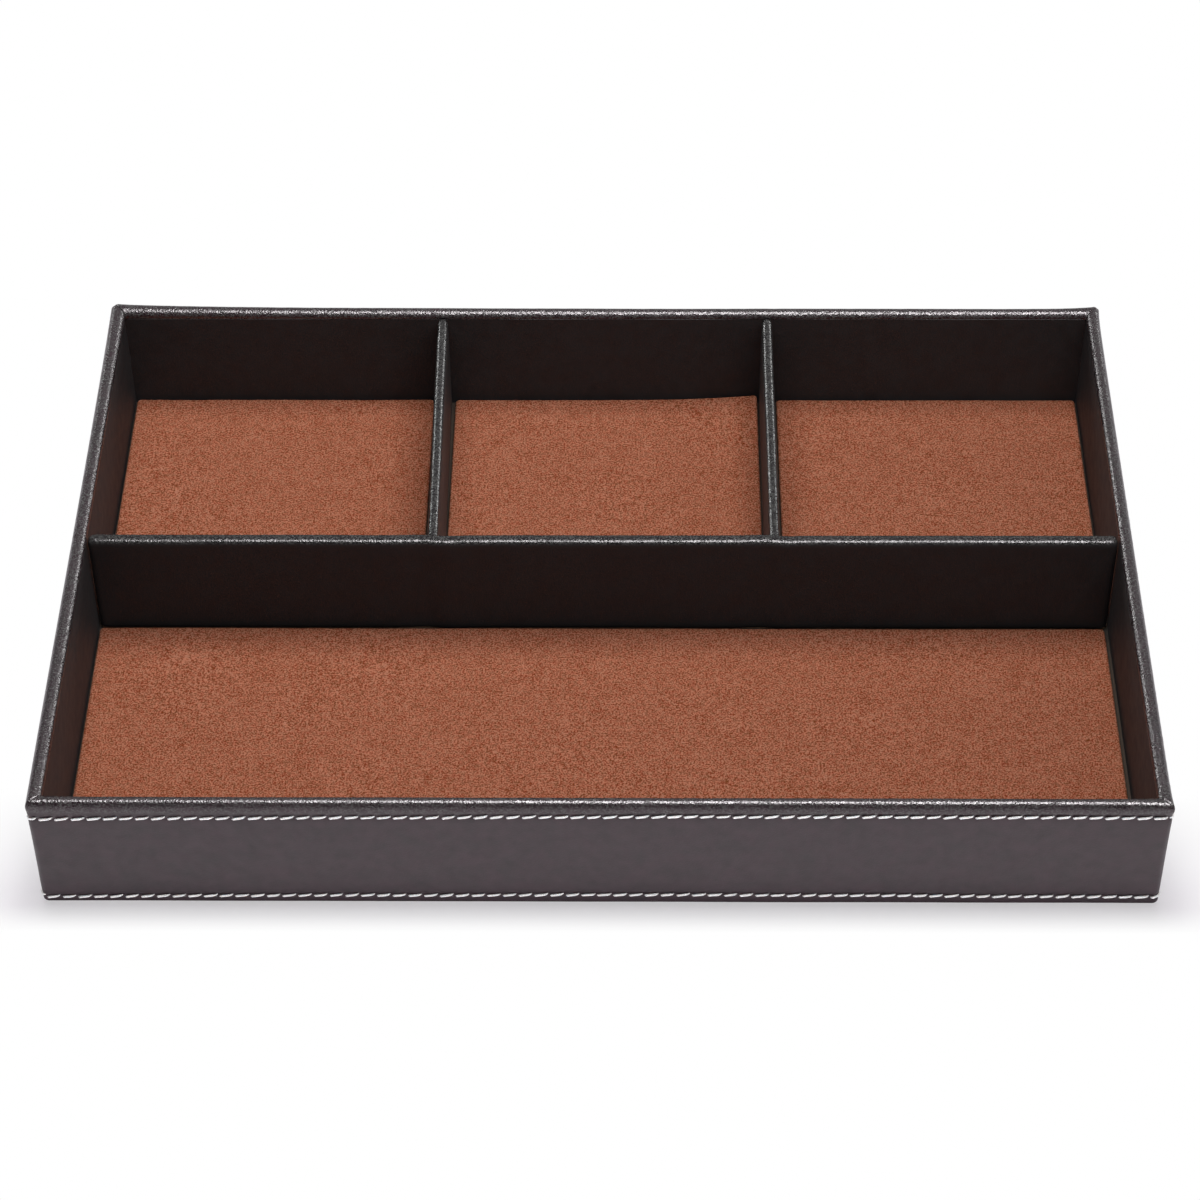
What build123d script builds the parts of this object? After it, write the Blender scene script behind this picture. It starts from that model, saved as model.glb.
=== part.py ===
"""A valet tray: leather over thin boards, one front and three rear compartments.

Millimetres. The origin is at the middle of the underside, +Z is up, +X runs to
the right of someone standing in front of the tray and +Y runs to its back.
"""
import math
import os

from build123d import *

# Overall size, over the leather and without the stitches that stand proud of it
tray_length = 340.0
tray_depth = 230.0
tray_height = 45.0
corner_radius = 2.0

# Leather and boards
cover_leather = 0.75
lining_leather = 0.75
wall_board = 3.0
divider_board = 2.0
base_board = 3.0

# Underside: a felt sheet over the hems of the cover and a packing card
felt = 0.5
felt_inset = 3.0
hem_width = 14.0
packing_clearance = 0.5

# Rim: how far the cover comes down inside before the lining takes over
rim_turn_down = 0.4

# Dividers stop short of the rim and of the walls that they stand between
divider_drop = 1.0
divider_end_gap = 0.3
divider_end_radius = 1.4

# Stitching, in a shallow pressed channel near the top and the bottom
upper_row_drop = 6.7
lower_row_height = 2.9
channel_width = 2.2
channel_depth = 0.25
stitch_pitch = 4.8
stitch_length = 4.1
stitch_width = 0.85
stitch_thickness = 0.55
stitch_end = 0.5
stitch_slant = 11.0
stitch_draft = 18.0

# Floor pads: suede folded round a stiff card, each with the slack it lies with
pad_card = 1.2
pad_suede = 0.9
pad_seat_gap = 0.25
pad_corner_radius = 1.2
pad_edge_radius = 0.6
snug_gap = 0.7
middle_gap = 1.4
loose_gap = 2.6

# The back right corner of the rear middle pad curls up
curl_rise = 2.3
curl_run = 32.0
curl_angle = 45.0

# Working values that are no size of the tray
overrun = 5.0
quarter_turn = 90.0
upward_share = 0.5

# Places that follow from the sizes above
wall = cover_leather + wall_board + lining_leather
divider = divider_board + 2 * lining_leather
hem_bottom = felt
hem_top = hem_bottom + cover_leather
floor_top = hem_top + base_board
rim_centre = tray_height - wall / 2
lining_top = rim_centre - rim_turn_down
upper_row_height = tray_height - upper_row_drop
divider_top = tray_height - divider_drop
inner_half_length = tray_length / 2 - wall
inner_half_depth = tray_depth / 2 - wall
cell_length = (2 * inner_half_length - 2 * divider) / 3
short_divider_place = (cell_length + divider) / 2
pad_bottom = floor_top + pad_seat_gap
pad_thickness = pad_card + pad_suede

# The sides, each a quarter turn on from the one before it
sides = ("front", "right", "back", "left")

# Inside of each compartment in plan: left, front, right and back
compartments = {
    "front": (-inner_half_length, -inner_half_depth, inner_half_length, -divider / 2),
    "rear_left": (-inner_half_length, divider / 2, -cell_length / 2 - divider, inner_half_depth),
    "rear_middle": (-cell_length / 2, divider / 2, cell_length / 2, inner_half_depth),
    "rear_right": (cell_length / 2 + divider, divider / 2, inner_half_length, inner_half_depth),
}

# Gap that each pad leaves to its left, front, right and back
pad_gaps = {
    "front": (snug_gap, snug_gap, middle_gap, middle_gap),
    "rear_left": (snug_gap, middle_gap, loose_gap, snug_gap),
    "rear_middle": (middle_gap, middle_gap, snug_gap, snug_gap),
    "rear_right": (loose_gap, middle_gap, snug_gap, snug_gap),
}


def block(low_x, low_y, high_x, high_y):
    """A rectangle between two corners."""
    middle = Pos((low_x + high_x) / 2, (low_y + high_y) / 2)
    return middle * Rectangle(high_x - low_x, high_y - low_y)


def prism(outline, low, high):
    """A plan outline raised from one height to another."""
    return Pos(0, 0, low) * extrude(outline, amount=high - low)


def run_and_reach(side):
    """A side's own length, and the depth of the tray across it."""
    if side in ("front", "back"):
        return tray_length, tray_depth
    return tray_depth, tray_length


def to_side(shape, side):
    """Turn a shape made for the front to another side."""
    return Rot(0, 0, quarter_turn * sides.index(side)) * shape


def along_wall(section, side):
    """Run a section along a wall; its x counts inward from the outer face."""
    run, reach = run_and_reach(side)
    across = Plane(origin=(0, -reach / 2, 0), x_dir=(0, 1, 0), z_dir=(1, 0, 0))
    return extrude(across * section, amount=run / 2, both=True)


def mitred(solid, side, inset):
    """Cut a wall piece at its mitres and round its outer corners."""
    run, reach = run_and_reach(side)
    half_run = run / 2 + overrun
    outer = -reach / 2 - overrun
    inner = -reach / 2 + hem_width + overrun
    depth = inner - outer
    plan = make_face(
        Polyline(
            (-half_run, outer),
            (half_run, outer),
            (half_run - depth, inner),
            (-half_run + depth, inner),
            close=True,
        )
    )
    rounded = RectangleRounded(run - 2 * inset, reach - 2 * inset, corner_radius - inset)
    return solid & prism(plan, 0, tray_height) & prism(rounded, 0, tray_height)


def base_board_solid():
    length = tray_length - 2 * cover_leather
    depth = tray_depth - 2 * cover_leather
    return prism(RectangleRounded(length, depth, corner_radius - cover_leather), hem_top, floor_top)


def wall_board_solid(side):
    """A wall board with a round top edge, mitred into its neighbours."""
    middle = cover_leather + wall_board / 2
    section = block(cover_leather, floor_top, cover_leather + wall_board, rim_centre)
    section += Pos(middle, rim_centre) * Circle(wall_board / 2)
    return to_side(mitred(along_wall(section, side), side, cover_leather), side)


def cover_solid(side, core):
    """The outer sheet: hem under the base, outer face, round rim, turn-down inside."""
    section = block(0, hem_bottom, wall, rim_centre)
    section += Pos(wall / 2, rim_centre) * Circle(wall / 2)
    section += block(wall, hem_bottom, hem_width, hem_top)
    section -= block(wall - lining_leather, hem_top, wall + overrun, lining_top)
    lower_edge = section.vertices().sort_by(Axis.Y)[:2].sort_by(Axis.X)[0]
    section = fillet(lower_edge, cover_leather)
    for height in (upper_row_height, lower_row_height):
        low = height - channel_width / 2
        section -= block(-overrun, low, channel_depth, low + channel_width)
    return to_side(mitred(along_wall(section, side), side, 0), side) - core


def lining_solid(side):
    """A wall's inner face; the front and back ones run the full length."""
    run, reach = run_and_reach(side)
    half_run = run / 2 - wall
    if side in ("front", "back"):
        half_run += lining_leather
    face = -reach / 2 + wall
    plan = block(-half_run, face - lining_leather, half_run, face)
    return to_side(prism(plan, floor_top, lining_top), side)


def stitch():
    """One visible stitch lying on the XY plane, with sloping sides and pointed ends."""
    tip = stitch_length / 2
    shoulder = tip - stitch_end
    edge = stitch_width / 2
    outline = make_face(
        Polyline(
            (-tip, 0),
            (-shoulder, -edge),
            (shoulder, -edge),
            (tip, 0),
            (shoulder, edge),
            (-shoulder, edge),
            close=True,
        )
    )
    return Rot(0, 0, stitch_slant) * extrude(outline, stitch_thickness, taper=stitch_draft)


def stitch_row(side, height):
    """The row of stitches lying on the floor of one channel."""
    run, reach = run_and_reach(side)
    stitched = run - 2 * corner_radius
    count = round(stitched / stitch_pitch)
    pitch = stitched / count
    pattern = stitch()
    row = []
    for place in range(count):
        along = (pitch - stitched) / 2 + pitch * place
        seat = (along, -reach / 2 + channel_depth, height)
        channel_floor = Plane(origin=seat, x_dir=(1, 0, 0), z_dir=(0, -1, 0))
        row.append(to_side(channel_floor.location * pattern, side))
    return Compound(children=row)


def divider_slab(length, thickness, end_radius, top):
    """A divider along X with a round top edge and rounded top corners."""
    round_centre = top - thickness / 2
    section = block(-thickness / 2, floor_top, thickness / 2, round_centre)
    section += Pos(0, round_centre) * Circle(thickness / 2)
    slab = extrude(Plane.YZ * section, amount=length / 2, both=True)
    elevation = block(-length / 2, floor_top, length / 2, top)
    elevation = fillet(elevation.vertices().group_by(Axis.Y)[-1], end_radius)
    return slab & extrude(Plane.XZ * elevation, amount=thickness, both=True)


def divider_pieces(length):
    """A divider's board and the leather wrapped over its faces, top and ends."""
    board_length = length - 2 * lining_leather
    board_radius = divider_end_radius - lining_leather
    board = divider_slab(board_length, divider_board, board_radius, divider_top - lining_leather)
    wrap = divider_slab(length, divider, divider_end_radius, divider_top) - board
    return board, wrap


def short_divider(shape, place):
    """Stand a divider made along X between the long divider and the back wall."""
    middle = (divider / 2 + inner_half_depth) / 2
    return Pos(place, middle, 0) * Rot(0, 0, quarter_turn) * shape


def bent_slab(thickness, corner):
    """A sheet, flat but for the curl that lifts its corner, wider than any pad."""
    reach = 2 * tray_length
    radius = (curl_run**2 + curl_rise**2) / (2 * curl_rise)
    sweep = math.degrees(math.asin((curl_run + overrun) / radius))
    under = JernArc(start=(0, 0), tangent=(1, 0), radius=radius, arc_size=sweep)
    over = JernArc(start=(0, thickness), tangent=(1, 0), radius=radius - thickness, arc_size=sweep)
    section = make_face(
        [
            Line((-reach, 0), (0, 0)),
            under,
            Line(under @ 1, over @ 1),
            over,
            Line((0, thickness), (-reach, thickness)),
            Line((-reach, thickness), (-reach, 0)),
        ]
    )
    towards = Vector(1, 0, 0).rotate(Axis.Z, curl_angle)
    fold = Vector(corner[0], corner[1], pad_bottom) - towards * curl_run
    across = Plane(origin=fold, x_dir=towards, z_dir=towards.cross(Vector(0, 0, 1)))
    return extrude(across * section, amount=reach, both=True)


def upper_edges(body):
    """The edges round a pad's upper face, without the line where it starts to curl."""
    upper = body.faces().filter_by(lambda face: face.normal_at(face.center()).Z > upward_share)
    edges = upper.edges()
    return edges.filter_by(lambda edge: sum(edge.is_same(other) for other in edges) == 1)


def pad_pieces(place):
    """A pad's stiff card and the suede folded over its top and edges."""
    left, front, right, back = compartments[place]
    gaps = pad_gaps[place]
    left, front, right, back = left + gaps[0], front + gaps[1], right - gaps[2], back - gaps[3]
    centre = Pos((left + right) / 2, (front + back) / 2)
    length = right - left
    depth = back - front
    plan = centre * RectangleRounded(length, depth, pad_corner_radius)
    card_plan = centre * Rectangle(length - 2 * pad_suede, depth - 2 * pad_suede)
    if place == "rear_middle":
        corner = (right, back)
        reach = pad_bottom + pad_thickness + curl_rise + overrun
        card = bent_slab(pad_card, corner) & prism(card_plan, 0, reach)
        body = bent_slab(pad_thickness, corner) & prism(plan, 0, reach)
    else:
        card = prism(card_plan, pad_bottom, pad_bottom + pad_card)
        body = prism(plan, pad_bottom, pad_bottom + pad_thickness)
    body = fillet(upper_edges(body), pad_edge_radius)
    return card, body - card


def build():
    """Every piece of the tray by name."""
    pieces = {"base_board": base_board_solid()}
    for side in sides:
        pieces[side + "_wall_board"] = wall_board_solid(side)
        core = [pieces["base_board"], pieces[side + "_wall_board"]]
        pieces[side + "_cover"] = cover_solid(side, core)
        pieces[side + "_lining"] = lining_solid(side)
        pieces[side + "_upper_stitching"] = stitch_row(side, upper_row_height)
        pieces[side + "_lower_stitching"] = stitch_row(side, lower_row_height)

    long_length = 2 * (inner_half_length - divider_end_gap)
    pieces["long_divider_board"], pieces["long_divider_wrap"] = divider_pieces(long_length)
    short_length = inner_half_depth - divider / 2 - 2 * divider_end_gap
    board, wrap = divider_pieces(short_length)
    for name, place in (("left", -short_divider_place), ("right", short_divider_place)):
        pieces[name + "_divider_board"] = short_divider(board, place)
        pieces[name + "_divider_wrap"] = short_divider(wrap, place)

    for place in compartments:
        pieces[place + "_pad_card"], pieces[place + "_pad_suede"] = pad_pieces(place)

    packing_inset = hem_width + packing_clearance
    packing = Rectangle(tray_length - 2 * packing_inset, tray_depth - 2 * packing_inset)
    pieces["packing_card"] = prism(packing, hem_bottom, hem_top)
    sheet = RectangleRounded(tray_length - 2 * felt_inset, tray_depth - 2 * felt_inset, corner_radius)
    pieces["base_felt"] = prism(sheet, 0, felt)
    return pieces


os.makedirs("parts", exist_ok=True)
for name, solid in build().items():
    export_step(solid, f"parts/{name}.step")
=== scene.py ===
"""The looks of a leather valet tray, dressed over its packed boards and cards.

Metres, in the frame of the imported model: the origin is at the middle of the
underside, +X is the user's right, +Y the back and +Z up.
"""
import math

import bpy
import numpy as np
from mathutils import Matrix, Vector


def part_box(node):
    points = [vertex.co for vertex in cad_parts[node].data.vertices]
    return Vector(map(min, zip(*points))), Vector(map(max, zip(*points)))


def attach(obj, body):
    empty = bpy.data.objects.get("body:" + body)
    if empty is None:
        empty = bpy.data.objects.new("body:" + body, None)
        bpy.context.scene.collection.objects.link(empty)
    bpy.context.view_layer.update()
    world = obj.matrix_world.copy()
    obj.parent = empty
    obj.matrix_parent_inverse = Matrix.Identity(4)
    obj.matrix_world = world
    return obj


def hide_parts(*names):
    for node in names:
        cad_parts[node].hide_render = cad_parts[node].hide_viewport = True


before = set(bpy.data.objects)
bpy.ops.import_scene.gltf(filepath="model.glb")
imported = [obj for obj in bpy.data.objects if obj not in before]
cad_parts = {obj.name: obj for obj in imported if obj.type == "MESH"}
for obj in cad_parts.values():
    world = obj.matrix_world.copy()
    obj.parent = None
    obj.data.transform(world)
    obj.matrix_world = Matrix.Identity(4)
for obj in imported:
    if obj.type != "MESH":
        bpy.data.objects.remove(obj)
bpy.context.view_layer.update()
mm = 0.001

sides = ("front", "right", "back", "left")


def middle(node, axis):
    """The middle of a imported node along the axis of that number."""
    return sum(corner[axis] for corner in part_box(node)) / 2


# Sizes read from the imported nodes: leather is a cover's thickness, and wall that of a whole wall
front_low, front_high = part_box("front_cover")
tray_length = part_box("right_cover")[1].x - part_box("left_cover")[0].x
tray_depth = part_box("back_cover")[1].y - front_low.y
tray_height = front_high.z
hem_width = front_high.y - front_low.y
hem_bottom = front_low.z
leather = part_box("front_wall_board")[0].y - front_low.y
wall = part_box("front_lining")[1].y - front_low.y
floor_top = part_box("base_board")[1].z
rim_centre = tray_height - wall / 2

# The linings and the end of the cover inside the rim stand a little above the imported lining
lining_rise = 0.3 * mm
cover_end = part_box("front_lining")[1].z + lining_rise
lining_below_cover = 0.03 * mm

# Corners of the cover in plan: round outside, tighter where the rim turns over
outer_corner = 2.0 * mm
rim_corner = 1.0 * mm
inner_corner = 1.2 * mm

# The covers meet in mitres: their turn and the narrow strip beside it are in degrees
mitre_turn = 45
seam_sliver = 0.02
corner_columns = 9

# On the rim a mitre is a crease, where the front and back covers overlap the other two
mitre_crease = 0.3 * mm
crease_width = 0.42 * mm
overlap_step = 0.12 * mm

# The rim's outer shoulder is eased, bulges on one side and comes to a point at each mitre
rim_shoulder = 3.5 * mm
rim_bulge = {"front": 0, "right": 0, "back": 0, "left": 0.4 * mm}
corner_point_reach = 5 * mm

# Each corner of the rim, by its sides of the middle: its point, its swell and the swell's reach
rim_corners = {
    (-1, -1): (0.45 * mm, 0.2 * mm, 6 * mm),
    (1, -1): (0.75 * mm, 0.14 * mm, 6 * mm),
    (1, 1): (0.7 * mm, 0.3 * mm, 12 * mm),
    (-1, 1): (0.25 * mm, 1.6 * mm, 48 * mm),
}

# Stitching: pitch and form of one stitch, and the pressed channel that it lies in
stitch_pitch = 4.8 * mm
stitch_length = 4.0 * mm
thread_width = 0.78 * mm
thread_height = 0.42 * mm
channel_depth = 0.22 * mm
channel_width = 1.0 * mm
hole_depth = 0.34 * mm
hole_width = 0.5 * mm
columns_per_stitch = 10
upper_row = middle("front_upper_stitching", 2)
lower_row = middle("front_lower_stitching", 2)

# Each row's height, first hole past the front left corner and seed
upper_seed = 11
lower_seed = 23
rows = {
    "upper_stitching": (upper_row, 2.7 * mm, upper_seed),
    "lower_stitching": (lower_row, 0.8 * mm, lower_seed),
}

# How the seams climb and fall round the tray: share of the way round, rise in mm
seam_rise = {
    upper_seed: [
        (0, 0.3), (0.06, 1.05), (0.12, 1.75), (0.2, 2.15), (0.29, 1.9), (0.5, 1.2), (0.8, 0.5), (1, 0.3)
    ],
    lower_seed: [
        (0, 0.2), (0.07, 1.05), (0.15, 1.6), (0.22, 1.55), (0.29, 1.2), (0.5, 0.7), (0.8, 0.3), (1, 0.2)
    ],
}
typical_rise = 0.8 * mm

# Besides, each row wanders in waves up to this high, so many of each round the tray
row_wander = 0.0625 * mm
row_waves = (3, 5, 8, 13, 21)

# Below the lower stitches the leather is tucked in towards the hem
hem_tuck = 0.1 * mm
tuck_start = lower_row - 0.9 * mm

# Small swells of the cover: height, wavelength and seed
face_swell = (0.05 * mm, 55 * mm, 3)
rim_wrinkle = (0.025 * mm, 5 * mm, 5)

# How evenly rubbed leather takes its wear and painted sheen: its usual share, how much that strays and
# over what length
usual_wear_and_sheen = 0.85
stray_wear_and_sheen = 0.15
wear_and_sheen_patch = 6 * mm
cover_wear_and_sheen_seed = 8
divider_wear_and_sheen_seed = 9

# The rim takes wear and painted sheen from these shares of its height up, and from its outer edge inwards
rim_wear_and_sheen_rise = (0.2, 0.2 + 1 / 3)
# Towards the outer edge it falls to this share, so that the edge stays darker as painted shade
edge_shade_run = (0.3 * mm, 1.4 * mm)
least_on_shaded_edge = 0.15

# The face takes wear and painted sheen too, from above the upper stitches
face_wear_and_sheen = 0.65
face_wear_and_sheen_rise = (upper_row + 2.2 * mm, upper_row + 3.7 * mm)

# Edges that turn by more degrees than this stay crisp
crisp_edge = 50


# Shapes


def ramp(value, start, full):
    """Nought up to start, one past full and straight between them; full may be the lower one."""
    return np.clip((value - start) / (full - start), 0, 1)


def hump(distance, width):
    """One at no distance, falling smoothly to nothing over a few widths."""
    return np.exp(-0.5 * (distance / width) ** 2)


def ripple(points, height, size, seed, number=0):
    """A random swell over points, up and down by about height; size is its wavelength.

    Pieces that share a seed have numbers, so that their swells differ.
    """
    waves = 14
    chance = np.random.default_rng(seed + number)
    heading = chance.normal(size=(waves, 3))
    heading /= np.linalg.norm(heading, axis=1)[:, None]
    speed = 2 * math.pi / (size * chance.uniform(0.7, 1.6, waves))
    phase = chance.uniform(0, 2 * math.pi, waves)
    swings = np.cos(points @ (heading * speed[:, None]).T + phase)
    return height * swings.sum(axis=-1) / math.sqrt(2 * waves)


def wear_and_sheen_share(points, seed):
    """How much wear and painted sheen each point takes where leather is rubbed: nearly all, in patches.
    """
    return np.clip(usual_wear_and_sheen + ripple(points, stray_wear_and_sheen, wear_and_sheen_patch, seed), 0, 1)


def mesh_piece(name, points, faces, finish):
    """A mesh object at the origin from its points, faces and finish."""
    mesh = bpy.data.meshes.new(name)
    mesh.from_pydata(np.asarray(points).tolist(), [], [list(map(int, face)) for face in faces])
    mesh.validate()
    mesh.materials.append(finish)
    mesh.shade_smooth()
    mesh.set_sharp_from_angle(angle=math.radians(crisp_edge))
    piece = bpy.data.objects.new(name, mesh)
    bpy.context.scene.collection.objects.link(piece)
    return piece


def paint(piece, name, values):
    """Keep a value at each point of a piece for its finish to read."""
    layer = piece.data.attributes.new(name, "FLOAT", "POINT")
    layer.data.foreach_set("value", np.asarray(values, np.float32))


def dress(piece, body, slot, *nodes):
    """Hand a finished piece to its body and hide the nodes that it stands for. slot is not used."""
    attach(piece, body)
    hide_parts(*nodes)


def stations(low, high, edge, step):
    """Places from low to high, close together round the rounded edges at both ends."""
    near = edge * np.array([0, 0.04, 0.15, 0.33, 0.6, 1.0, 1.6])
    inner = np.linspace(low + near[-1], high - near[-1], max(2, round((high - low) / step)))
    return np.concatenate([low + near[:-1], inner, high - near[-2::-1]])


def soft_slab(low, high, thin, corner, edge, lower_edge, step):
    """Points and faces of a closed slab with rounded corners and edges.

    low and high are its corners, and thin the number of the axis across it.
    Its plan corners have the radius corner, its edges on the high side of the
    thin axis the radius edge, and those on the low side lower_edge.
    """
    across, up = (thin + 1) % 3, (thin + 2) % 3
    u = stations(low[across], high[across], edge, step)
    v = stations(low[up], high[up], edge, step)
    u_grid, v_grid = np.meshgrid(u, v, indexing="ij")
    u_edge = np.minimum(u_grid - u[0], u[-1] - u_grid)
    v_edge = np.minimum(v_grid - v[0], v[-1] - v_grid)
    depth = np.minimum(u_edge, v_edge)
    in_u = ramp(u_edge, corner, 0)
    in_v = ramp(v_edge, corner, 0)
    both = (in_u > 0) & (in_v > 0)
    pull = np.where(both, np.maximum(in_u, in_v) / np.maximum(np.hypot(in_u, in_v), 1e-9), 1)
    u_sign = np.sign(u_grid - (u[0] + u[-1]) / 2)
    v_sign = np.sign(v_grid - (v[0] + v[-1]) / 2)
    u_grid = u_grid - np.where(both, u_sign * in_u * corner * (1 - pull), 0)
    v_grid = v_grid - np.where(both, v_sign * in_v * corner * (1 - pull), 0)

    def sheet(height, radius, facing):
        drop = radius - np.sqrt(np.maximum(radius**2 - np.maximum(radius - depth, 0) ** 2, 0))
        points = np.zeros((u_grid.size, 3))
        points[:, across] = u_grid.ravel()
        points[:, up] = v_grid.ravel()
        points[:, thin] = (height - facing * drop).ravel()
        return points

    points = np.concatenate([sheet(high[thin], edge, 1), sheet(low[thin], lower_edge, -1)])
    index = np.arange(u_grid.size).reshape(u_grid.shape)
    quads = np.stack([index[:-1, :-1], index[1:, :-1], index[1:, 1:], index[:-1, 1:]], -1).reshape(-1, 4)
    rim = np.concatenate([index[:, 0], index[-1, 1:], index[-2::-1, -1], index[0, -2:0:-1]])
    after = np.roll(rim, -1)
    under = u_grid.size
    band = np.stack([rim + under, after + under, after, rim], -1)
    return points, np.concatenate([quads, quads[:, ::-1] + under, band])


# Finishes


class Nodes:
    """A node tree built node by node, each input given as a value or a socket."""

    def __init__(self, tree):
        self.tree = tree

    def feed(self, socket, value):
        if isinstance(value, bpy.types.NodeSocket):
            self.tree.links.new(value, socket)
        else:
            socket.default_value = value

    def add(self, kind, inputs=(), **settings):
        node = self.tree.nodes.new(kind)
        for key, value in settings.items():
            setattr(node, key, value)
        for key, value in dict(inputs).items():
            self.feed(node.inputs[key], value)
        return node

    def math(self, operation, first, second=0.0):
        return self.add("ShaderNodeMath", {0: first, 1: second}, operation=operation).outputs[0]

    def spread(self, value, low, high, to_low=0.0, to_high=1.0):
        """Stretch a value from one range to another, and no further."""
        inputs = {0: value, 1: low, 2: high, 3: to_low, 4: to_high}
        return self.add("ShaderNodeMapRange", inputs).outputs[0]


class Finish(Nodes):
    """A material whose pattern is read in object coordinates."""

    def __init__(self, name, specular):
        self.material = bpy.data.materials.new(name)
        self.material.use_nodes = True
        super().__init__(self.material.node_tree)
        self.surface = self.tree.nodes["Principled BSDF"]
        self.set("Specular IOR Level", specular)
        self.place = self.add("ShaderNodeTexCoord").outputs["Object"]

    def set(self, socket, value):
        """Set a socket of the surface, or join what is given to it."""
        self.feed(self.surface.inputs[socket], value)

    def noise(self, size, detail=2.0, roughness=0.5, distortion=0.0, place=None):
        """Noise from 0 to 1 whose lumps are about size across."""
        inputs = {
            "Vector": place or self.place,
            "Scale": 1 / size,
            "Detail": detail,
            "Roughness": roughness,
            "Distortion": distortion,
        }
        return self.add("ShaderNodeTexNoise", inputs).outputs["Fac"]

    def cells(self, size):
        """Distance from the middle of rounded cells about size across."""
        inputs = {"Vector": self.place, "Scale": 1 / size, "Smoothness": 0.35}
        return self.add("ShaderNodeTexVoronoi", inputs, feature="SMOOTH_F1").outputs["Distance"]

    def mix(self, share, first, second):
        """A colour between two others."""
        inputs = {0: share, 6: first, 7: second}
        return self.add("ShaderNodeMix", inputs, data_type="RGBA").outputs[2]

    def attribute(self, name):
        return self.add("ShaderNodeAttribute", attribute_name=name).outputs["Fac"]

    def bump(self, height, distance, strength=1.0):
        """Raise the surface by a height from 0 to 1, over what has raised it already."""
        inputs = {"Height": height, "Distance": distance, "Strength": strength}
        if self.surface.inputs["Normal"].is_linked:
            inputs["Normal"] = self.surface.inputs["Normal"].links[0].from_socket
        self.set("Normal", self.add("ShaderNodeBump", inputs).outputs["Normal"])


def colour(red, green, blue):
    return (red, green, blue, 1.0)


sheen_of_the_leather = colour(1.0, 0.88, 0.94)
# Grey of the pebble tips on the rim: partly wear, partly painted sheen
wear_and_sheen_tips = colour(0.064, 0.066, 0.062)


def work_leather(finish, dark, matt, rubbed, patch, unevenness, pebble, relief, swell):
    """Give leather its pebbles and swells, and rub it where its points are painted as rim: smoother
    there, with pebble tips lighter by wear and painted sheen.

    dark is its colour, and matt and rubbed its roughness off the rim and on it,
    which strays by unevenness from patch to patch. patch, pebble and swell are
    widths, and relief is the depth of the pebbles.
    """
    finish.set("Specular Tint", sheen_of_the_leather)
    rim = finish.attribute("rim")
    tips = finish.spread(finish.noise(0.6 * mm, 3), 0.45, 0.62)
    # Pebble tips lightened where the rim is marked: wear and painted sheen
    finish.set("Base Color", finish.mix(finish.math("MULTIPLY", tips, rim), dark, wear_and_sheen_tips))
    uneven = finish.spread(finish.noise(patch, 2), 0.3, 0.7, -unevenness, unevenness)
    finish.set("Roughness", finish.math("ADD", finish.spread(rim, 0, 1, matt, rubbed), uneven))
    pebbles = finish.math("MULTIPLY", finish.cells(pebble), finish.noise(0.45 * mm, 2))
    finish.bump(finish.math("MULTIPLY", pebbles, finish.spread(rim, 0, 1, 0.2, 1.0)), relief)
    finish.bump(finish.noise(swell, 2), 0.25 * mm, 0.5)


def pebbled_leather():
    """Semi-gloss dark leather with a fine pebble, deep on the rim, where wear and painted sheen lighten
    it.
    """
    finish = Finish("pebbled_leather", 0.8)
    tone = finish.spread(finish.noise(6 * mm, 5, 0.65), 0.3, 0.7)
    work_leather(
        finish,
        dark=finish.mix(tone, colour(0.004, 0.001, 0.002), colour(0.018, 0.006, 0.01)),
        matt=0.44,
        rubbed=0.23,
        patch=3.5 * mm,
        unevenness=0.05,
        pebble=0.58 * mm,
        relief=0.22 * mm,
        swell=14 * mm,
    )
    return finish.material


def smooth_leather():
    """The darker, smoother leather that lines the walls and wraps the dividers."""
    finish = Finish("smooth_leather", 0.5)
    tone = finish.noise(12 * mm, 3)
    work_leather(
        finish,
        dark=finish.mix(tone, colour(0.001, 0.001, 0.0012), colour(0.0028, 0.0025, 0.0027)),
        matt=0.62,
        rubbed=0.17,
        patch=4 * mm,
        unevenness=0.04,
        pebble=0.6 * mm,
        relief=0.19 * mm,
        swell=18 * mm,
    )
    return finish.material


def brown_suede():
    """Short-napped suede, speckled by its fibres and mottled where they lie differently."""
    finish = Finish("brown_suede", 0.08)
    finish.set("Roughness", 0.95)
    nap = finish.noise(0.55 * mm, 2, 0.65, 0.2)
    clumps = finish.noise(1.9 * mm, 2, 0.55, 0.8)
    swirl = finish.noise(7 * mm, 3, 0.6, 1.2)
    elsewhere = finish.add("ShaderNodeVectorMath", {0: finish.place, 1: (0.31, 0.17, 0.23)}).outputs[0]
    hue = finish.spread(finish.noise(1.4 * mm, 2, place=elsewhere), 0.38, 0.62)
    low = finish.mix(hue, colour(0.19, 0.029, 0.006), colour(0.155, 0.039, 0.008))
    high = finish.mix(hue, colour(0.468, 0.17, 0.099), colour(0.43, 0.18, 0.112))
    clumped = finish.spread(clumps, 0.3, 0.7, -0.18, 0.18)
    swirled = finish.spread(swirl, 0.2, 0.8, -0.14, 0.14)
    lie = finish.math("ADD", finish.spread(nap, 0.41, 0.59), clumped)
    finish.set("Base Color", finish.mix(finish.math("ADD", lie, swirled), low, high))
    finish.set("Sheen Weight", 0.1)
    finish.set("Sheen Roughness", 0.5)
    finish.set("Sheen Tint", colour(0.9, 0.5, 0.36))
    finish.bump(nap, 0.25 * mm)
    return finish.material


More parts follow.
